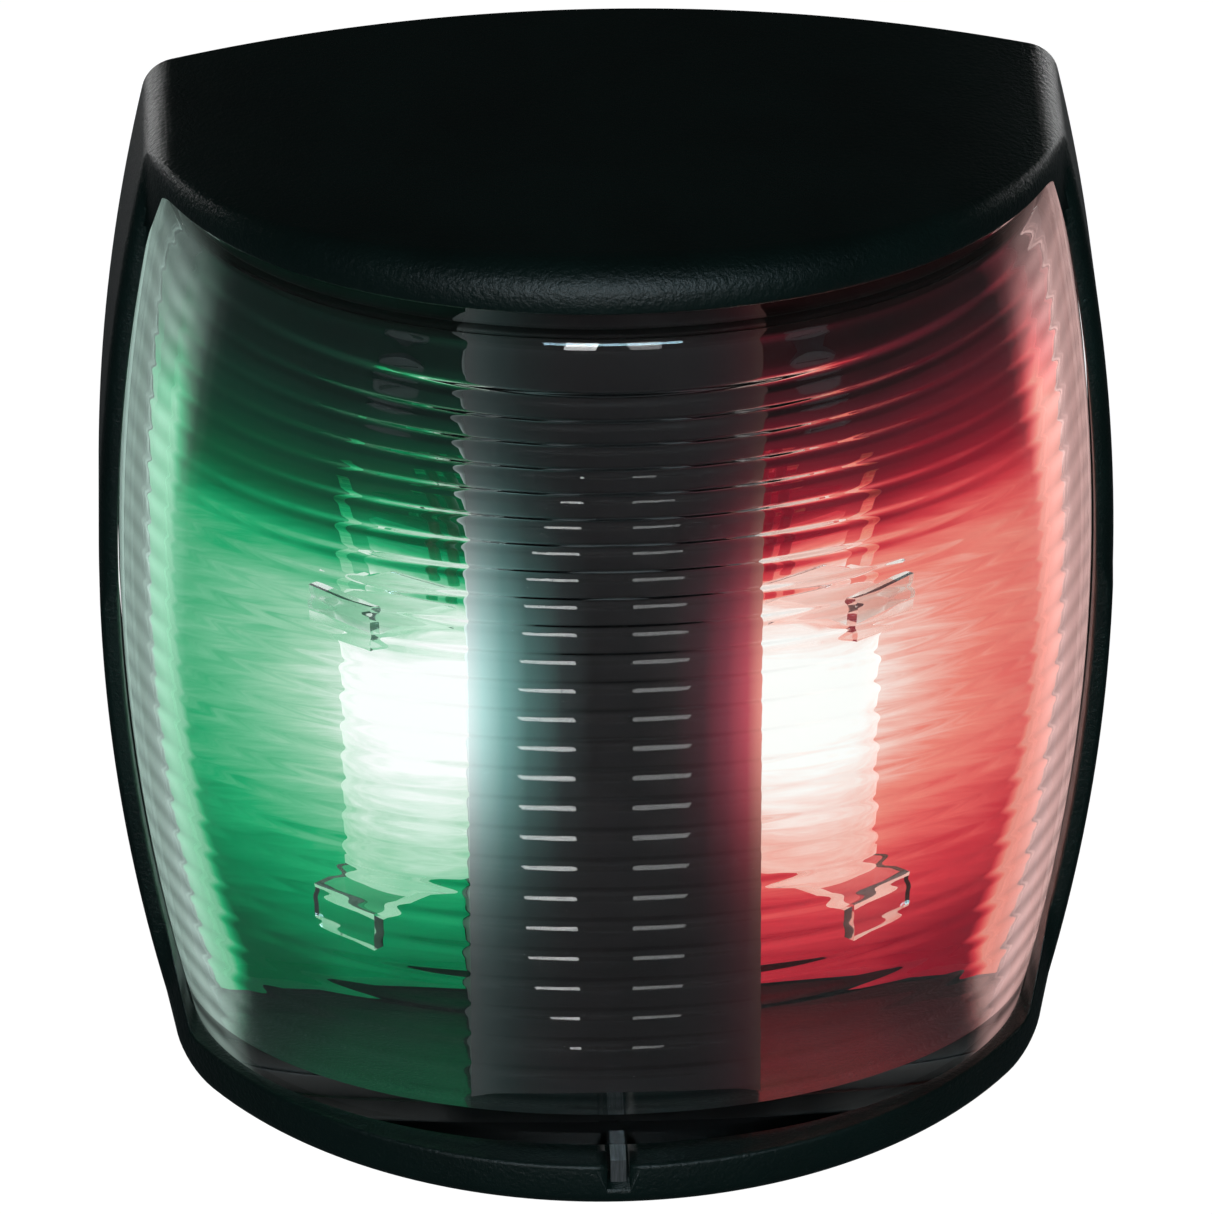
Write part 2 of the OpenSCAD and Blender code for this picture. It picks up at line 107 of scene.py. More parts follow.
def mesh_object(name, points, faces, sharp_deg=35.0):
    """An object made of points in metres, smooth except where it turns by more than the sharp angle."""
    mesh = bpy.data.meshes.new(name)
    mesh.from_pydata(points, [], faces)
    mesh.validate()
    mesh.polygons.foreach_set("use_smooth", [True] * len(mesh.polygons))
    mesh.set_sharp_from_angle(angle=math.radians(sharp_deg))
    mesh.update()
    piece = bpy.data.objects.new(name, mesh)
    bpy.context.scene.collection.objects.link(piece)
    return piece


def grid_faces(rows, cols, first=0, wrap_rows=False, wrap_cols=False, flip=False):
    """Quads over a grid of points stored row by row."""
    faces = []
    for r in range(rows if wrap_rows else rows - 1):
        for c in range(cols if wrap_cols else cols - 1):
            row, next_row = first + r * cols, first + (r + 1) % rows * cols
            next_c = (c + 1) % cols
            quad = [row + c, row + next_c, next_row + next_c, next_row + c]
            faces.append(quad[::-1] if flip else quad)
    return faces


# ---------- shroud ----------


def circle_crossing(p, rp, q, rq):
    """Crossing point of two circles, on the left of the line from p to q."""
    d = (q - p).length
    along = (rp**2 - rq**2 + d**2) / (2 * d)
    u = (q - p) / d
    return p + along * u + math.sqrt(rp**2 - along**2) * Vector((-u.y, u.x))


def arc(centre, radius, start, end, steps):
    """Points along an arc, both ends included."""
    return [
        centre + radius * Vector((math.cos(a), math.sin(a)))
        for a in (start + (end - start) * i / steps for i in range(steps + 1))
    ]


def heading(centre, point):
    """Angle at which a point is seen from a centre."""
    return math.atan2(point.y - centre.y, point.x - centre.x)


def outline(inset, top, top_r, bottom, bottom_r, corner):
    """Closed front-view outline, anticlockwise from the bottom centre."""
    side, side_r = Vector((HALF_WIDTH - SIDE_R, BELLY_Z)), SIDE_R - inset
    above, below = Vector((0, top - top_r)), Vector((0, bottom + bottom_r))
    upper = circle_crossing(side, side_r - corner, above, top_r - corner)
    lower = circle_crossing(below, bottom_r - corner, side, side_r - corner)
    half = arc(below, bottom_r, -math.pi / 2, heading(below, lower), BOTTOM_STEPS)
    half += arc(lower, corner, heading(below, lower), heading(side, lower), CORNER_STEPS)[1:]
    half += arc(side, side_r, heading(side, lower), heading(side, upper), SIDE_STEPS)[1:]
    half += arc(upper, corner, heading(side, upper), heading(above, upper), CORNER_STEPS)[1:]
    half += arc(above, top_r, heading(above, upper), math.pi / 2, TOP_STEPS)[1:]
    return half + [Vector((-p.x, p.y)) for p in half[-2:0:-1]]


def front_depth(x, z, inset=0.0):
    """Depth of the shroud's front edge over a point of its outline."""
    reach, plan_r = (HOOD_REACH, FRONT_R) if z > 0 else (RIM_REACH, RIM_R)
    radius = plan_r - inset
    if abs(x) >= radius:
        return STRIP_DEPTH - inset
    return max(STRIP_DEPTH - inset, reach - plan_r + math.sqrt(radius**2 - x * x))


def shroud_profile(outer, inner, window):
    """The wall's cross-section at one place on the outline, from rear outside to rear inside."""
    lip = (window - outer).length
    most, share = (HOOD_ROUND, HOOD_ROUND_SHARE) if outer.y > 0 else (RIM_ROUND, RIM_ROUND_SHARE)
    edge = min(most, lip * share)
    inward = (window - outer) / lip
    points = [(outer, 0.0), (outer, REAR_BAND)]
    full = front_depth(outer.x, outer.y)
    points += [(outer, full * s) for s in WALL_SHARES if full * s < full - edge - WALL_ROOM]
    while len(points) < WALL_POINTS:
        points.append((outer, full - edge - WALL_STEP * (WALL_POINTS + 1 - len(points))))
    for k in range(ROUND_STEPS + 1):
        turn = math.pi / 2 * k / ROUND_STEPS
        at = outer + inward * edge * (1 - math.cos(turn))
        points.append((at, front_depth(at.x, outer.y) - edge * (1 - math.sin(turn))))
    small = min(WINDOW_ROUND, (lip - edge) * WINDOW_ROUND_SHARE)
    for k in range(WINDOW_ROUND_STEPS + 1):
        turn = math.pi / 2 * k / WINDOW_ROUND_STEPS
        at = window - inward * small * (1 - math.sin(turn))
        points.append((at, front_depth(at.x, outer.y) - small * (1 - math.cos(turn))))
    back = front_depth(inner.x, outer.y, LIP_DEPTH)
    points += [(window, back), (inner, back), (inner, back * 0.5), (inner, 0.0)]
    return points


def build_shroud():
    """The black moulding: hood, side strips and bottom rim in one closed wall."""
    outer = outline(0, TOP_Z, TOP_R, BOTTOM_Z, BOTTOM_R, CORNER_R)
    inner = outline(
        SHROUD_WALL,
        TOP_Z - HOOD_WALL,
        TOP_R - HOOD_WALL,
        BOTTOM_Z + HOOD_WALL,
        BOTTOM_R - HOOD_WALL,
        INNER_CORNER_R,
    )
    window = outline(
        SHROUD_WALL + SIDE_LIP,
        WINDOW_TOP,
        WINDOW_TOP_R,
        WINDOW_BOTTOM,
        WINDOW_BOTTOM_R,
        WINDOW_CORNER_R,
    )
    rows = [shroud_profile(*at) for at in zip(outer, inner, window)]
    points = [place(p.x, f, p.y) for row in rows for p, f in row]
    faces = grid_faces(len(rows), len(rows[0]), wrap_rows=True, wrap_cols=True)
    shroud = mesh_object("shroud_moulding", points, faces, 40)
    cut_slot(shroud)
    return shroud


def cut_slot(shroud):
    """The notch in the bottom rim that the lens clip sits in."""
    depths, heights = (SLOT_BACK, RIM_REACH + 1), (BOTTOM_Z + HOOD_WALL, WINDOW_BOTTOM + 1)
    corners = [place(a * SLOT_HALF, f, z) for z in heights for f in depths for a in (-1, 1)]
    sides = [(0, 1, 3, 2), (4, 6, 7, 5), (0, 4, 5, 1), (2, 3, 7, 6), (0, 2, 6, 4), (1, 5, 7, 3)]
    cutter = mesh_object("slot_cutter", corners, sides)
    cut = shroud.modifiers.new("slot", "BOOLEAN")
    cut.operation, cut.object, cut.solver = "DIFFERENCE", cutter, "EXACT"
    bpy.context.view_layer.update()
    result = shroud.evaluated_get(bpy.context.evaluated_depsgraph_get())
    notched = bpy.data.meshes.new_from_object(result)
    shroud.modifiers.clear()
    shroud.data = notched
    bpy.data.objects.remove(cutter)


# ---------- lens ----------


def nose(z, inset, below_crown):
    """Reach of one lens skin on its centre line: flared upwards, with a rounded brow under the hood."""
    flare = LENS_FLARE * (max(0.0, min(z, BROW_Z) - FLARE_FROM) / FLARE_SPAN) ** FLARE_POWER
    swell = BROW_SWELL * (1 - math.exp(-BROW_RATE * max(0.0, z - BROW_Z)))
    radius = max(BROW_LEAST_R, BROW_R - inset)
    into = min(radius, max(0.0, radius - below_crown))
    return LENS_REACH + flare + swell - inset - (radius - math.sqrt(radius**2 - into**2))


def lens_point(theta, z, inset, rise, below_crown):
    """One point of a skin; the ribs are flatter towards the sides."""
    rise *= RIB_SIDE + (1 - RIB_SIDE) * math.cos(theta) ** RIB_FADE
    forward = LENS_ROOT + (nose(z, inset, below_crown) - rise - LENS_ROOT) * math.cos(theta)
    return place(math.sin(theta) * (wide(z) - LENS_SIDE - inset), forward, z)


def outer_rows():
    """Rows of the smooth skin: share of the way down from the crown, the height that ends at, rise."""
    rows = [(share, RIB_TOP, 0.0) for share in BROW_SHARES]
    for k in range(LENS_ROWS + 1):
        rows.append((1.0, RIB_TOP + (LENS_BOTTOM - RIB_TOP) * k / LENS_ROWS, 0.0))
    return rows


def inner_rows(inset):
    """The same for the inside skin, which carries the rounded ribs."""
    last = LENS_BOTTOM + inset
    rows = [(share, RIB_TOP + RIB_HALF + ROW_GAP, 0.0) for share in BROW_SHARES]
    for rib in range(RIB_COUNT):
        for k in range(RIB_STEPS + 1):
            z = RIB_TOP - rib * RIB_PITCH + RIB_HALF * (1 - 2 * k / RIB_STEPS)
            if z > last + ROW_GAP:
                rise = RIB_RISE + RIB_GAIN * z
                rows.append((1.0, z, rise * (0.5 - 0.5 * math.cos(2 * math.pi * k / RIB_STEPS))))
    rows.append((1.0, last, 0.0))
    return rows


def seated(point):
    """The point straight behind this one, at the depth of the lens's seat."""
    return Vector((point.x, -LENS_SEAT * MM, point.z))


def lens_grid(inset, rows):
    """Rows of points over one skin, with a margin all round that runs back to the seat."""
    grid = []
    for share, z_end, rise in rows:
        line = []
        for c in range(LENS_COLUMNS + 1):
            theta = math.pi * (c / LENS_COLUMNS - 0.5)
            crown = LENS_TOP - inset - LENS_CROWN * math.sin(theta) ** 2
            z = crown + (z_end - crown) * share
            line.append(lens_point(theta, z, inset, rise, crown - z))
        grid.append(line)
    grid = [[seated(line[0])] + line + [seated(line[-1])] for line in grid]
    return [[seated(p) for p in grid[0]]] + grid + [[seated(p) for p in grid[-1]]]


def build_lens():
    """Two skins joined by strips along the top and bottom and by one face at each side."""
    skins = [lens_grid(0, outer_rows()), lens_grid(LENS_WALL, inner_rows(LENS_WALL))]
    points, faces, edges = [], [], []
    for k, grid in enumerate(skins):
        first, width, count = len(points), len(grid[0]), len(grid)
        points += [p for line in grid for p in line]
        faces += grid_faces(count, width, first, flip=(k == 0))
        edges.append(
            {
                "top": [first + c for c in range(width)],
                "bottom": [first + (count - 1) * width + c for c in range(width)],
                "left": [first + r * width for r in range(count)],
                "right": [first + r * width + width - 1 for r in range(count)],
            }
        )
    outer, inner = edges
    for side, flip in (("top", True), ("bottom", False)):
        a, b = outer[side], inner[side]
        for c in range(len(a) - 1):
            quad = [a[c], a[c + 1], b[c + 1], b[c]]
            faces.append(quad[::-1] if flip else quad)
    for side, flip in (("left", False), ("right", True)):
        ring = outer[side] + inner[side][::-1]
        faces.append(ring[::-1] if flip else ring)
    lens = mesh_object("ribbed_lens", points, faces, 50)
    weld(lens, WELD_GAP)
    return lens


def build_flange(name, side):
    """The liner's outer flange, which turns back along the inside of the lens wall."""
    points = []
    for k in range(FLANGE_STEPS + 1):
        z = FLANGE_LOW + (FLANGE_HIGH - FLANGE_LOW) * k / FLANGE_STEPS
        wall = wide(z) - LENS_SIDE - LENS_WALL
        points += [place(side * (wall - gap), forward, z) for gap, forward in FLANGE_SECTION]
    faces = grid_faces(FLANGE_STEPS + 1, len(FLANGE_SECTION), flip=side > 0)
    return mesh_object(name, points, faces)


def weld(piece, gap):
    """Merge points closer than the gap and turn all faces outwards."""
    work = bmesh.new()
    work.from_mesh(piece.data)
    bmesh.ops.remove_doubles(work, verts=work.verts, dist=gap)
    bmesh.ops.recalc_face_normals(work, faces=work.faces)
    work.to_mesh(piece.data)
    work.free()


# ---------- materials (a noise's scale is per metre, a bump's height in millimetres) ----------


# sockets of a Mix node that mixes colours
MIX_FACTOR, MIX_FIRST, MIX_SECOND, MIX_RESULT = 0, 6, 7, 2


class Shader:
    """A small helper that adds nodes to one material."""

    def __init__(self, name):
        self.material = bpy.data.materials.new(name)
        self.material.use_nodes = True
        self.tree = self.material.node_tree
        self.tree.nodes.clear()
        self.out = self.add("ShaderNodeOutputMaterial")
        self.main = self.add("ShaderNodeBsdfPrincipled")
        self.link(self.main, "BSDF", self.out, "Surface")
        self.coords = None

    def add(self, kind, **values):
        """A new node; each value goes to the input of that name, or else to the property."""
        node = self.tree.nodes.new(kind)
        for key, value in values.items():
            if key in node.inputs:
                node.inputs[key].default_value = value
            else:
                setattr(node, key, value)
        return node

    def link(self, source, output, target, socket):
        self.tree.links.new(source.outputs[output], target.inputs[socket])

    def set(self, **values):
        """Set inputs of the main shader, with _ for each space in their names."""
        for key, value in values.items():
            self.main.inputs[key.replace("_", " ")].default_value = value
        return self

    def position(self):
        if self.coords is None:
            self.coords = self.add("ShaderNodeTexCoord")
        return self.coords

    def axes(self, output="Object"):
        """The X, Y and Z of each point, or of its normal."""
        split = self.add("ShaderNodeSeparateXYZ")
        self.link(self.position(), output, split, "Vector")
        return split

    def across(self, split, half_mm):
        """Place from side to side, 0 to 1 over twice the half width."""
        return self.math("MULTIPLY_ADD", (split, "X"), 1 / (2 * half_mm * MM), 0.5, clamp=True)

    def noise(self, scale, detail=3.0, roughness=0.55, stretch=None):
        node = self.add("ShaderNodeTexNoise", Scale=scale, Detail=detail, Roughness=roughness)
        if stretch:
            squash = self.add("ShaderNodeMapping", Scale=stretch)
            self.link(self.position(), "Object", squash, "Vector")
            self.link(squash, "Vector", node, "Vector")
        else:
            self.link(self.position(), "Object", node, "Vector")
        return node

    def ramp(self, source, output, stops):
        node = self.add("ShaderNodeValToRGB")
        ramp = node.color_ramp
        ramp.elements[0].position, ramp.elements[0].color = stops[0][0], (*stops[0][1], 1)
        ramp.elements[1].position, ramp.elements[1].color = stops[-1][0], (*stops[-1][1], 1)
        for at, colour in stops[1:-1]:
            ramp.elements.new(at).color = (*colour, 1)
        self.link(source, output, node, "Fac")
        return node

    def math(self, operation, a, b=None, c=None, clamp=False):
        """A maths node whose inputs are numbers or (node, output) pairs."""
        node = self.add("ShaderNodeMath", operation=operation, use_clamp=clamp)
        for k, value in enumerate((a, b, c)):
            if value is None:
                continue
            if isinstance(value, tuple):
                self.link(*value, node, k)
            else:
                node.inputs[k].default_value = value
        return (node, "Value")

    def mix(self, factor, first, second, socket):
        """Blend two colour ramps, or a colour and a ramp, into one input of the main shader."""
        node = self.add("ShaderNodeMix", data_type="RGBA")
        self.link(*factor, node, MIX_FACTOR)
        if isinstance(first, tuple):
            node.inputs[MIX_FIRST].default_value = first
        else:
            self.link(first, "Color", node, MIX_FIRST)
        self.link(second, "Color", node, MIX_SECOND)
        self.link(node, MIX_RESULT, self.main, socket)

    def colour(self, noise, dark, light):
        """Mottled base colour."""
        node = self.ramp(noise, "Fac", [(0.35, dark), (0.65, light)])
        self.link(node, "Color", self.main, "Base Color")
        return self

    def rough(self, noise, low, high):
        """Uneven roughness."""
        node = self.add("ShaderNodeMapRange")
        node.inputs["To Min"].default_value = low
        node.inputs["To Max"].default_value = high
        self.link(noise, "Fac", node, "Value")
        self.link(node, "Result", self.main, "Roughness")
        return self

    def bump(self, noise, height_mm):
        node = self.add("ShaderNodeBump", Strength=1.0, Distance=height_mm * MM)
        self.link(noise, "Fac", node, "Height")
        self.link(node, "Normal", self.main, "Normal")
        return self


def moulded_black(name, dark, light, grain, height, rough):
    """Spark-eroded moulded plastic: a fine pitted grain with slow variation in tone."""
    shader = Shader(name)
    shader.colour(shader.noise(90, 4), dark, light)
    fine = shader.noise(grain, 4, 0.65)
    shader.rough(fine, *rough)
    shader.bump(fine, height)
    return shader


def metal(name, dark, light, rough, stretch=(1, 1, 14)):
    """Metal with fine lines along one axis."""
    shader = Shader(name).set(Metallic=1.0)
    brushed = shader.noise(420, 4, 0.6, stretch)
    shader.colour(brushed, dark, light)
    shader.rough(shader.noise(900, 3), *rough)
    shader.bump(brushed, 0.01)
    return shader


def plain(name, dark, light, rough=(0.4, 0.55), grain=900, height=0.02):
    """Moulded or coated part with a little mottling and grain."""
    shader = Shader(name)
    shader.colour(shader.noise(160, 4), dark, light)
    fine = shader.noise(grain, 3)
    shader.rough(fine, *rough)
    shader.bump(fine, height)
    return shader


ACRYLIC_TINT, ACRYLIC_IOR = (0.97, 1.0, 0.99, 1), 1.49


def clear_plastic(name, haze=(0.0, 0.02)):
    """Clear acrylic that casts no shadow on what it covers."""
    shader = Shader(name).set(Transmission_Weight=1.0, IOR=ACRYLIC_IOR, Specular_IOR_Level=0.25)
    shader.set(Base_Color=ACRYLIC_TINT)
    shader.rough(shader.noise(60, 3), *haze)
    path = shader.add("ShaderNodeLightPath")
    passed = shader.add("ShaderNodeBsdfTransparent")
    mix = shader.add("ShaderNodeMixShader")
    shader.link(path, "Is Shadow Ray", mix, 0)
    shader.link(shader.main, "BSDF", mix, 1)
    shader.link(passed, "BSDF", mix, 2)
    shader.link(mix, "Shader", shader.out, "Surface")
    return shader


# colour of the light, from dark to white hot
GREEN_STOPS = [
    (0.0, (0.0003, 0.0012, 0.001)),
    (0.15, (0.0008, 0.02, 0.01)),
    (0.35, (0.0006, 0.08, 0.028)),
    (0.5, (0.001, 0.227, 0.082)),
    (0.6, (0.014, 0.376, 0.147)),
    (0.7, (0.14, 0.5, 0.275)),
    (0.8, (0.34, 0.64, 0.44)),
    (0.9, (0.71, 0.86, 0.76)),
    (1.0, (1.0, 1.0, 1.0)),
]
RED_STOPS = [
    (0.0, (0.0012, 0.0004, 0.0004)),
    (0.15, (0.068, 0.004, 0.01)),
    (0.35, (0.26, 0.0075, 0.02)),
    (0.5, (0.61, 0.038, 0.053)),
    (0.6, (0.78, 0.114, 0.107)),
    (0.7, (0.85, 0.235, 0.184)),
    (0.8, (0.9, 0.49, 0.42)),
    (0.9, (0.965, 0.8, 0.75)),
    (1.0, (1.0, 1.0, 0.98)),
]
# painted light up the chamber, from below its floor to the painted shade under the hood
CHAMBER_LOW, CHAMBER_TALL = -50.0, 80.0
CHAMBER_STOPS = [
    (-50, 0.1),
    (-41, 0.3),
    (-36, 0.34),
    (-31, 0.47),
    (-25, 0.58),
    (-20, 0.68),
    (-8, 0.74),
    (-1, 0.74),
    (3, 0.64),
    (7, 0.42),
    (11, 0.24),
    (16, 0.15),
    (20, 0.03),
    (23, 0.0),
]
# beyond this width the shadow of the hood lifts and the light weakens
SHADOW_X, SHADOW_LIFT, SHADOW_DIM = 20.5, 0.6, 0.009
# the painted white-hot spot of light round each source: distance from the centre line, and reach
HOT_X, HOT_WIDE, HOT_TALL = 12.5, 11.0, 10.0
# fine streaks in the light
STREAK_SCALE, STREAK_STRETCH = 300, (0.4, 1, 2.6)
STREAK_RANGE, STREAK_LEAST = 0.34, 0.83
# the pale band of painted light is full within 4.5 mm of the lens's side and ends at 7 mm
EDGE_PALE, EDGE_SLOPE, EDGE_START = 0.72, -0.4, 2.8
# and it is full up to 18 mm above the middle and ends at 32 mm
PALE_SLOPE, PALE_START = -1 / 14.0, 2.3
# a face is lit fully until it leans backwards, and not at all when it faces the bulkhead
BACK_SLOPE, BACK_START = -2.0, 1.6
GLOW_STRENGTH, GLOW_SPECULAR = 1.08, 0.08

# how the piped light falls off in from the lens's side, over this many millimetres
PIPED_REACH = 8.0
PIPED_STOPS = [
    (0.0, 0.08),
    (0.15, 0.2),
    (0.3, 0.32),
    (0.42, 0.27),
    (0.53, 0.12),
    (0.63, 0.02),
    (0.72, 0.0),
]
PIPED_TINTS = [(0.3, (0.54, 0.72, 0.65)), (0.7, (1.15, 0.68, 0.64))]
# it fades over 8 mm under the hood and over 4 mm above the bottom rim
PIPED_TOP_SLOPE, PIPED_TOP_START = -1 / 8.0, 4.9
PIPED_LOW_SLOPE, PIPED_LOW_START = 1 / 4.0, 10.0
# the ribs break its outer part into painted dashes
DASH_SLOPE, DASH_START, DASH_DEPTH = -6.0, 3.2, 0.38

# painted light spilt on the screen, from its green edge to its red one
SPILL_STOPS = [
    (0.0, (0.85, 1.0, 1.0)),
    (0.05, (0.5, 0.78, 0.76)),
    (0.12, (0.2, 0.42, 0.4)),
    (0.2, (0.07, 0.16, 0.15)),
    (0.32, (0.02, 0.03, 0.03)),
    (0.42, (0.003, 0.003, 0.003)),
    (0.58, (0.003, 0.003, 0.003)),
    (0.7, (0.012, 0.008, 0.008)),
    (0.8, (0.05, 0.014, 0.02)),
    (0.88, (0.2, 0.03, 0.05)),
    (0.95, (0.5, 0.07, 0.1)),
    (1.0, (0.85, 0.3, 0.25)),
]
SPILL_Z, SPILL_TALL, SPILL_LEAST = 1.0, 12.2, 0.04
# light in the seal, from its green side to its red one
SEAL_STOPS = [
    (0.06, (0.3, 0.42, 0.38)),
    (0.16, (0, 0, 0)),
    (0.84, (0, 0, 0)),
    (0.94, (0.55, 0.38, 0.36)),
]


def width_and_height(shader, split):
    """Distance from the centre line and height, in millimetres."""
    out_x = shader.math("ABSOLUTE", shader.math("MULTIPLY", (split, "X"), 1 / MM))
    return out_x, shader.math("MULTIPLY", (split, "Z"), 1 / MM)


def grey_ramp(shader, value, stops):
    """A number that follows another one through a table of stops."""
    return shader.ramp(value[0], "Value", [(at, (v, v, v)) for at, v in stops]), "Color"


def side_room(shader, out_x, z):
    """Distance in from the side of the lens, in millimetres."""
    rise = shader.math("SUBTRACT", z, BELLY_Z)
    narrow = shader.math("MULTIPLY", shader.math("MULTIPLY", rise, rise), 1 / (2 * SIDE_R))
    return shader.math("SUBTRACT", HALF_WIDTH - LENS_SIDE, shader.math("ADD", out_x, narrow))


def squared_share(shader, value, middle, reach):
    """How far a value is from the middle of a soft spot, squared, as a share of the spot's reach."""
    off = shader.math("MULTIPLY_ADD", value, 1 / reach, -middle / reach)
    return shader.math("MULTIPLY", off, off)


def light_up(shader, side, lift=0.0, hot_z=-8.5, hot_gain=0.25):
    """Paint a surface with glow standing for light from its chamber's source: white near it, then its
    colour, pale by the side wall.

    The side is -1 for green, 1 for red, or 0 for a part with a piece in both chambers. Lift makes
    all of it brighter, hot_z is the painted white-hot spot's height and hot_gain its strength.
    """
    split = shader.axes()
    out_x, z = width_and_height(shader, split)
    beyond = shader.math("MAXIMUM", shader.math("SUBTRACT", out_x, SHADOW_X), 0.0)
    level = shader.math("MULTIPLY_ADD", beyond, -SHADOW_LIFT, z)
    share = shader.math("MULTIPLY_ADD", level, 1 / CHAMBER_TALL, -CHAMBER_LOW / CHAMBER_TALL, clamp=True)
    stops = [((at - CHAMBER_LOW) / CHAMBER_TALL, v) for at, v in CHAMBER_STOPS]
    body = grey_ramp(shader, share, stops)
    far_x = squared_share(shader, out_x, HOT_X, HOT_WIDE)
    far_z = squared_share(shader, z, hot_z, HOT_TALL)
    far = shader.math("ADD", far_x, far_z)
    near = shader.math("EXPONENT", shader.math("MULTIPLY", far, -1.0))
    streak = shader.noise(STREAK_SCALE, 5, 0.65, STREAK_STRETCH)
    light = shader.math("MULTIPLY_ADD", near, hot_gain, body)
    uneven = shader.math("MULTIPLY_ADD", (streak, "Fac"), STREAK_RANGE, STREAK_LEAST + lift)
    dimmed = shader.math("MULTIPLY_ADD", beyond, -SHADOW_DIM, uneven)
    light = shader.math("MULTIPLY", light, dimmed, clamp=True)
    room = side_room(shader, out_x, z)
    edge = shader.math("MULTIPLY_ADD", room, EDGE_SLOPE, EDGE_START, clamp=True)
    low = shader.math("MULTIPLY_ADD", z, PALE_SLOPE, PALE_START, clamp=True)
    pale = shader.math("MULTIPLY", shader.math("MULTIPLY", edge, EDGE_PALE), low)
    light = shader.math("MAXIMUM", light, pale)
    facing = shader.axes("Normal")
    forward = shader.math("MULTIPLY_ADD", (facing, "Y"), BACK_SLOPE, BACK_START, clamp=True)
    light = shader.math("MULTIPLY", light, forward)
    if side:
        colours = shader.ramp(light[0], "Value", GREEN_STOPS if side < 0 else RED_STOPS)
        shader.link(colours, "Color", shader.main, "Emission Color")
    else:
        port = shader.math("GREATER_THAN", (split, "X"), 0.0)
        green = shader.ramp(light[0], "Value", GREEN_STOPS)
        red = shader.ramp(light[0], "Value", RED_STOPS)
        shader.mix(port, green, red, "Emission Color")
    shader.set(Emission_Strength=GLOW_STRENGTH, Specular_IOR_Level=GLOW_SPECULAR)
    return shader


def glow(name, side, base, *values):
    """A plain moulded surface with painted glow for light from its chamber's source; the values are
    light_up's last three.
    """
    shader = Shader(name).set(Base_Color=(*base, 1))
    shader.rough(shader.noise(900, 3), 0.3, 0.5)
    return light_up(shader, side, *values)


def carry_light(shader):
    """Painted glow on the side walls of the lens, for light piped there, where the clear plastic shows
    it.
    """
    split = shader.axes()
    out_x, z = width_and_height(shader, split)
    share = shader.math("MULTIPLY", side_room(shader, out_x, z), 1 / PIPED_REACH, clamp=True)
    bright = grey_ramp(shader, share, PIPED_STOPS)
    top = shader.math("MULTIPLY_ADD", z, PIPED_TOP_SLOPE, PIPED_TOP_START, clamp=True)
    low = shader.math("MULTIPLY_ADD", z, PIPED_LOW_SLOPE, PIPED_LOW_START, clamp=True)
    strength = shader.math("MULTIPLY", shader.math("MULTIPLY", bright, top), low)
    wave = shader.math("COSINE", shader.math("MULTIPLY", z, 2 * math.pi / RIB_PITCH))
    outer = shader.math("MULTIPLY_ADD", share, DASH_SLOPE, DASH_START, clamp=True)
    wave = shader.math("MULTIPLY_ADD", wave, DASH_DEPTH, DASH_DEPTH)
    dash = shader.math("MULTIPLY", wave, outer)
    strength = shader.math("MULTIPLY", strength, shader.math("SUBTRACT", 1.0, dash))
    across = shader.across(split, HALF_WIDTH)
    tint = shader.ramp(across[0], "Value", PIPED_TINTS)
    shader.link(tint, "Color", shader.main, "Emission Color")
    shader.link(strength[0], "Value", shader.main, "Emission Strength")
    return shader


def dark_screen():
    """Satin black plastic with painted coloured light spilling over its two long edges."""
    shader = Shader("dark_screen_plastic_and_painted_spill")
    fine = shader.noise(1800, 4, 0.6)
    shader.colour(shader.noise(90, 4), (0.005, 0.003, 0.003), (0.009, 0.006, 0.006))
    shader.rough(fine, 0.35, 0.5)
    shader.bump(fine, 0.02)
    split = shader.axes()
    tint = shader.ramp(shader.across(split, SCREEN_HALF)[0], "Value", SPILL_STOPS)
    z = shader.math("MULTIPLY", (split, "Z"), 1 / MM)
    far = squared_share(shader, z, SPILL_Z, SPILL_TALL)
    fade = shader.math("EXPONENT", shader.math("MULTIPLY", far, -1.0))
    fade = shader.math("MULTIPLY_ADD", fade, 1 - SPILL_LEAST, SPILL_LEAST)
    shader.mix(fade, (0, 0, 0, 1), tint, "Emission Color")
    shader.set(Emission_Strength=1.0, Specular_IOR_Level=0.12)
    return shader


def lit_seal():
    """Grey silicone with a painted glow for each chamber's light carried round the back of the lens."""
    shader = plain("grey_silicone_and_painted_glow", (0.06, 0.065, 0.065), (0.1, 0.105, 0.105), (0.5, 0.7))
    across = shader.across(shader.axes(), HALF_WIDTH)
    tint = shader.ramp(across[0], "Value", SEAL_STOPS)
    shader.link(tint, "Color", shader.main, "Emission Color")
    return shader.set(Emission_Strength=1.0)


def source(name, side):
    """The light source's dome: white hot, with specks of its colour."""
    shader = Shader(name)
    speck = shader.noise(1500, 2)
    tint = (0.6, 1.0, 0.75) if side < 0 else (1.0, 0.7, 0.6)
    colours = shader.ramp(speck, "Fac", [(0.3, tint), (0.45, (1, 1, 1))])
    shader.link(colours, "Color", shader.main, "Emission Color")
    return shader.set(Emission_Strength=3.0, Roughness=0.3)


def circuit_board(name, dark, light, copper):
    """Solder mask with the relief of fine tracks under it."""
    shader = Shader(name)
    tracks = shader.add("ShaderNodeTexBrick", Scale=260.0)
    tracks.inputs["Color1"].default_value = (*dark, 1)
    tracks.inputs["Color2"].default_value = (*light, 1)
    tracks.inputs["Mortar"].default_value = (*copper, 1)
    tracks.inputs["Mortar Size"].default_value = 0.03
    turn = shader.add("ShaderNodeMapping", Rotation=(math.pi / 2, 0, 0))
    shader.link(shader.position(), "Object", turn, "Vector")
    shader.link(turn, "Vector", tracks, "Vector")
    shader.link(tracks, "Color", shader.main, "Base Color")
    shader.rough(shader.noise(500, 3), 0.3, 0.45)
    shader.bump(tracks, 0.03)
    return shader


# ---------- build ----------

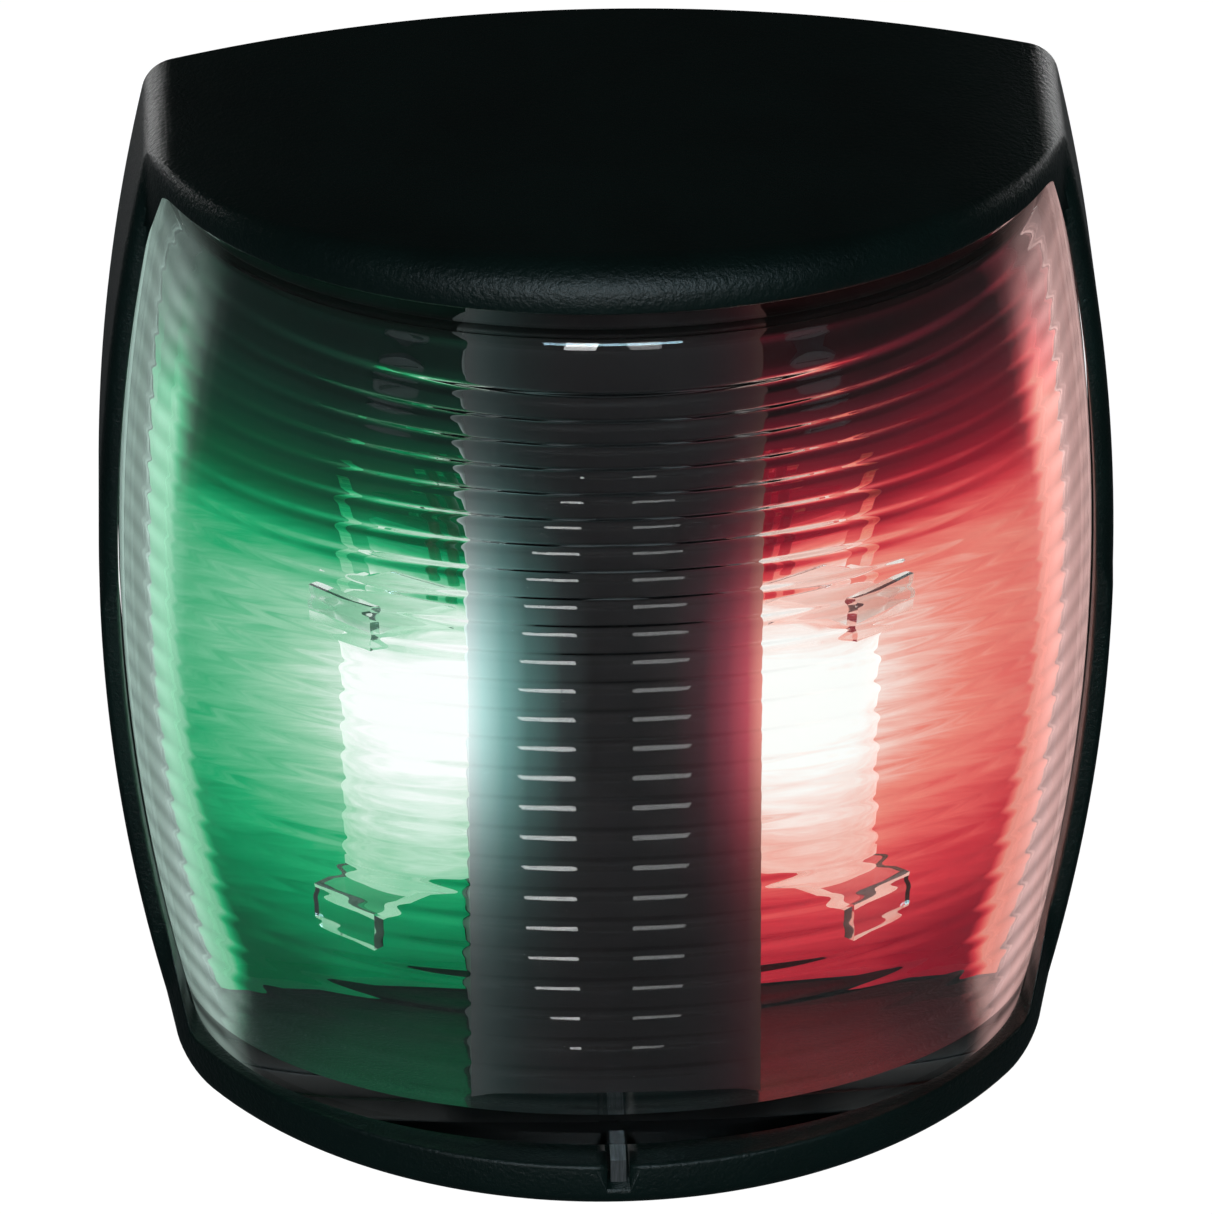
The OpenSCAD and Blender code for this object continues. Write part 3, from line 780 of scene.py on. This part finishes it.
shroud = build_shroud()
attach(shroud, "shroud")
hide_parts("shroud")
hood_dark, hood_light = (0.0015, 0.006, 0.005), (0.0025, 0.009, 0.0075)
hood_plastic = moulded_black("shroud_plastic", hood_dark, hood_light, 2400, 0.1, (0.28, 0.44))
shroud.data.materials.clear()
shroud.data.materials.append(hood_plastic.set(Specular_IOR_Level=0.28).material)

lens = build_lens()
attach(lens, "lamp")
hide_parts("outer_lens")
# the lens carries a painted glow by its side walls
lens.data.materials.append(carry_light(clear_plastic("lens_acrylic_and_painted_glow")).material)

screw_steel = metal("screw_steel", (0.32, 0.33, 0.34), (0.62, 0.63, 0.64), (0.22, 0.42))
black_steel = metal("blackened_steel", (0.02, 0.021, 0.022), (0.05, 0.052, 0.054), (0.4, 0.55))
brass = metal("turned_brass", (0.5, 0.33, 0.12), (0.78, 0.58, 0.26), (0.2, 0.38))
rubber = plain("black_rubber", (0.012, 0.012, 0.013), (0.03, 0.031, 0.032), (0.6, 0.8), 700, 0.05)
# the chambers' surfaces glow with painted light; their dark base colours are tinted green and red by it
# too
glow_green = glow("green_chamber_painted_glow", -1, (0.001, 0.005, 0.003))
glow_red = glow("red_chamber_painted_glow", 1, (0.005, 0.001, 0.001))

for name, side, shader, slot in (
    ("starboard_liner_flange", -1, glow_green, "green_liner"),
    ("port_liner_flange", 1, glow_red, "red_liner"),
):
    flange = build_flange(name, side)
    flange.data.materials.append(shader.material)
    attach(flange, "lamp")

lit_screws = glow("lit_screws", 0, (0.02, 0.02, 0.02), -0.05)
# the driver board's solder mask; light_up below also gives it a painted glow from both chambers
driver_mask = circuit_board("green_board", (0.01, 0.09, 0.03), (0.014, 0.12, 0.045), (0.05, 0.2, 0.07))
base_dark, base_light = (0.006, 0.007, 0.007), (0.012, 0.013, 0.013)
steel_dark, steel_light = (0.2, 0.205, 0.21), (0.36, 0.365, 0.37)
resin_dark, resin_light = (0.01, 0.011, 0.013), (0.03, 0.032, 0.036)
ferrite_dark, ferrite_light = (0.03, 0.032, 0.034), (0.06, 0.062, 0.066)
can_dark, can_light = (0.5, 0.51, 0.52), (0.72, 0.73, 0.74)
chip_dark, chip_light = (0.012, 0.012, 0.013), (0.025, 0.025, 0.027)
NODE_MATERIALS = {
    "lens_seal": lit_seal(),
    "base_housing": moulded_black("base_plastic", base_dark, base_light, 2000, 0.05, (0.42, 0.62)),
    "mounting_gasket": rubber,
    "cable_gland": rubber,
    "threaded_inserts": brass,
    "supply_terminals": brass,
    "breather_plug": plain("white_plastic", (0.62, 0.63, 0.61), (0.76, 0.77, 0.75)),
    "retaining_clip": metal("stainless", steel_dark, steel_light, (0.3, 0.45), (14, 1, 1)),
    "potting_compound": plain("dark_resin", resin_dark, resin_light, (0.15, 0.3), 300, 0.05),
    "driver_board": light_up(driver_mask, 0, -0.1),
    "driver_board_screws": screw_steel,
    "heat_sink_screws": black_steel,
    "led_board_screws": lit_screws,
    "reflector_screws": lit_screws,
    "driver_inductor": plain("ferrite", ferrite_dark, ferrite_light, (0.5, 0.7), 1400, 0.04),
    "driver_capacitors": metal("capacitor_can", can_dark, can_light, (0.25, 0.4)),
    "driver_chips": plain("chip_epoxy", chip_dark, chip_light, (0.5, 0.65), 2400, 0.03),
    "heat_sink": glow("lit_black_anodising", 0, (0.003, 0.003, 0.003), -0.1, 0.0, 0.15),
    "thermal_pads": glow("lit_thermal_pad", 0, (0.02, 0.03, 0.04), 0.2, 0.0, 0.3),
    # the LED boards and optics glow with painted light; their base colours are tinted green and red by
    # it
    "starboard_led_board": glow("green_lit_board", -1, (0.01, 0.016, 0.014), 0.1, -3.0, 0.3),
    "port_led_board": glow("red_lit_board", 1, (0.02, 0.01, 0.01), 0.1, -3.0, 0.3),
    "starboard_led": source("green_source", -1),
    "port_led": source("red_source", 1),
    "starboard_optic": glow("green_optic", -1, (0.004, 0.012, 0.01), 0.12, -2.0, 0.24),
    "port_optic": glow("red_optic", 1, (0.014, 0.004, 0.004), 0.12, -2.0, 0.24),
    "optic_clips": clear_plastic("clip_acrylic", haze=(0.02, 0.08)),
    "led_leads": glow("lit_wire_sheath", 0, (0.012, 0.002, 0.002), 0.1),
    "light_screen": dark_screen(),
    "starboard_reflector": glow_green,
    "port_reflector": glow_red,
}

for node, shader in NODE_MATERIALS.items():
    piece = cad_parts[node]
    piece.data.materials.clear()
    piece.data.materials.append(shader.material)

# ---------- studio ----------

TARGET = Vector((-0.1, -15.0, 0.1)) * MM
AZIMUTH, ELEVATION, ROLL, DISTANCE = math.radians(-1.9), math.radians(31.1), math.radians(-0.15), 1.0
SENSOR, FOCAL = 36.0, 381.6
NEAR_CLIP, FAR_CLIP = 0.05, 20.0
FLOOR_HALF, FLOOR_GAP = 3, 0.0005


def direction(azimuth, elevation):
    """Unit vector from the lamp towards a place round it; azimuth 0 is straight ahead."""
    level = math.cos(elevation)
    return Vector((math.sin(azimuth) * level, -math.cos(azimuth) * level, math.sin(elevation)))


camera = bpy.data.objects.new("camera", bpy.data.cameras.new("camera"))
bpy.context.scene.collection.objects.link(camera)
camera.data.lens, camera.data.sensor_width = FOCAL, SENSOR
camera.data.clip_start, camera.data.clip_end = NEAR_CLIP, FAR_CLIP
toward = direction(AZIMUTH, ELEVATION)
camera.location = TARGET + toward * DISTANCE
camera.rotation_euler = (toward.to_track_quat("Z", "Y") @ Quaternion((0, 0, 1), ROLL)).to_euler()
bpy.context.scene.camera = camera

floor_z = BOTTOM_Z * MM - FLOOR_GAP
floor_corners = [
    Vector((x * FLOOR_HALF, y * FLOOR_HALF, floor_z)) for x, y in ((-1, -1), (1, -1), (1, 1), (-1, 1))
]
floor = mesh_object("studio_floor", floor_corners, [(0, 1, 2, 3)])
# the floor and the air look white, but add little light of their own
floor_paint = Shader("studio_floor_paint").set(Roughness=0.9)
floor_paint.colour(floor_paint.noise(2.0, 2), (0.12, 0.12, 0.12), (0.14, 0.14, 0.14))
floor_paint.set(Emission_Color=(1, 1, 1, 1))
seen = floor_paint.add("ShaderNodeLightPath")
floor_paint.link(seen, "Is Camera Ray", floor_paint.main, "Emission Strength")
floor.data.materials.append(floor_paint.material)


def softbox(name, azimuth, elevation, distance, width, height, power, colour=(1, 1, 1)):
    """A rectangular light aimed at the lamp: degrees, metres, watts."""
    lamp = bpy.data.lights.new(name, "AREA")
    lamp.color = colour
    lamp.shape = "RECTANGLE"
    lamp.size, lamp.size_y = width, height
    lamp.energy = power
    holder = bpy.data.objects.new(name, lamp)
    bpy.context.scene.collection.objects.link(holder)
    toward = direction(math.radians(azimuth), math.radians(elevation))
    holder.location = toward * distance
    holder.rotation_euler = toward.to_track_quat("Z", "Y").to_euler()


# two tall boxes, which the ribs show as grey bars, and a bluish sheet over them
softbox("key_left", -8, 18, 1.2, 0.163, 0.62, 3.6)
softbox("fill_right", 8, 18, 1.2, 0.163, 0.62, 1.1)
softbox("top_sheet", 0, 26, 1.6, 0.95, 0.22, 9.0, (0.55, 0.85, 1.0))

# low strips behind the lamp, which light its back without touching the top of the hood
softbox("back_left", -152, -1.5, 0.6, 0.5, 0.05, 0.7)
softbox("back_right", 152, -1.5, 0.6, 0.5, 0.05, 0.7)

# strength of the white air for every ray but the camera's
AIR_LIGHT = 0.03

world = bpy.data.worlds.new("studio_air")
world.use_nodes = True
air = world.node_tree.nodes["Background"]
air.inputs["Color"].default_value = (1, 1, 1, 1)
rays = world.node_tree.nodes.new("ShaderNodeLightPath")
level = world.node_tree.nodes.new("ShaderNodeMapRange")
level.inputs["To Min"].default_value = AIR_LIGHT
level.inputs["To Max"].default_value = 1.0
world.node_tree.links.new(rays.outputs["Is Camera Ray"], level.inputs["Value"])
world.node_tree.links.new(level.outputs["Result"], air.inputs["Strength"])
bpy.context.scene.world = world

scene = bpy.context.scene
scene.view_settings.view_transform = "Standard"
scene.cycles.use_denoising = True
